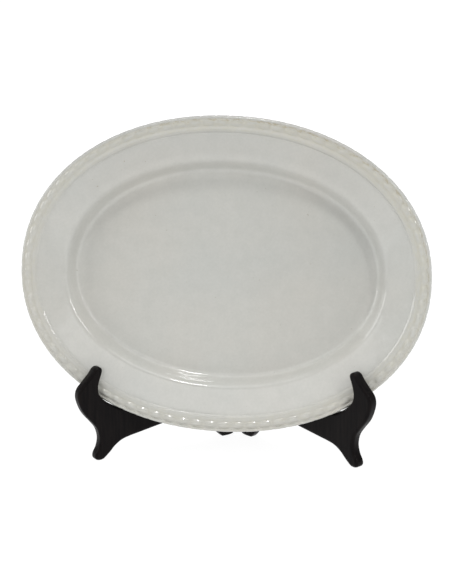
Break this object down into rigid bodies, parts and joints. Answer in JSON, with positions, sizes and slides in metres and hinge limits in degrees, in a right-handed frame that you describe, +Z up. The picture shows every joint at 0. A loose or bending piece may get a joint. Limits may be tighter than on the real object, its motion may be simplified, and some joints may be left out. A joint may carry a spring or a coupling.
{
  "type": "oval serving platter on a folding display stand",
  "caption": "Oval glazed china serving platter with a beaded rim and a shallow well, leaning in a folding dark wooden display stand.",
  "frame": {"origin": "bottom centre of the bounding box, on the surface that the stand's four feet rest on", "axes": "+Z up; the platter's front faces -Y; +X to the right as the front is seen, along the platter's length"},
  "size_m": [0.3558, 0.101, 0.2964],
  "materials": {
    "glazed_china": "clear gloss glaze over greyish white ware, fine crazing, cream age staining at the beaded rim",
    "ebonised_wood": "satin black lacquer over wood, rubbed brown at the rounded edges",
    "hinge_brass": "lightly tarnished satin brass"
  },
  "bodies": {
    "hinge_pins": {"lower_hinge_pin": "hinge_brass", "upper_hinge_pin": "hinge_brass"},
    "platter": {"platter": "glazed_china"},
    "left_half": {"left_panel": "ebonised_wood", "lower_hinge_left_leaf": "hinge_brass", "lower_hinge_left_top_screw": "hinge_brass", "lower_hinge_left_bottom_screw": "hinge_brass", "upper_hinge_left_leaf": "hinge_brass", "upper_hinge_left_top_screw": "hinge_brass", "upper_hinge_left_bottom_screw": "hinge_brass"},
    "right_half": {"right_panel": "ebonised_wood", "lower_hinge_right_leaf": "hinge_brass", "lower_hinge_right_top_screw": "hinge_brass", "lower_hinge_right_bottom_screw": "hinge_brass", "upper_hinge_right_leaf": "hinge_brass", "upper_hinge_right_top_screw": "hinge_brass", "upper_hinge_right_bottom_screw": "hinge_brass"}
  },
  "joints": [
    {"name": "platter_lift", "type": "slide", "parent": "hinge_pins", "child": "platter", "axis": [0, -0.4706, 0.8824], "range_m": [0, 0.1556]},
    {"name": "left_fold", "type": "hinge", "parent": "hinge_pins", "child": "left_half", "pos_m": [0.003, 0.04409, 0.1], "axis": [0, 0, 1], "range_deg": [0, 52.5]},
    {"name": "right_fold", "type": "hinge", "parent": "hinge_pins", "child": "right_half", "pos_m": [0.003, 0.04409, 0.1], "axis": [0, 0, -1], "range_deg": [0, 52.5]}
  ],
  "couplings": [
    {"joint": "left_fold", "follows": "platter_lift", "rad_per_m": 5.888},
    {"joint": "right_fold", "follows": "platter_lift", "rad_per_m": 5.888}
  ]
}
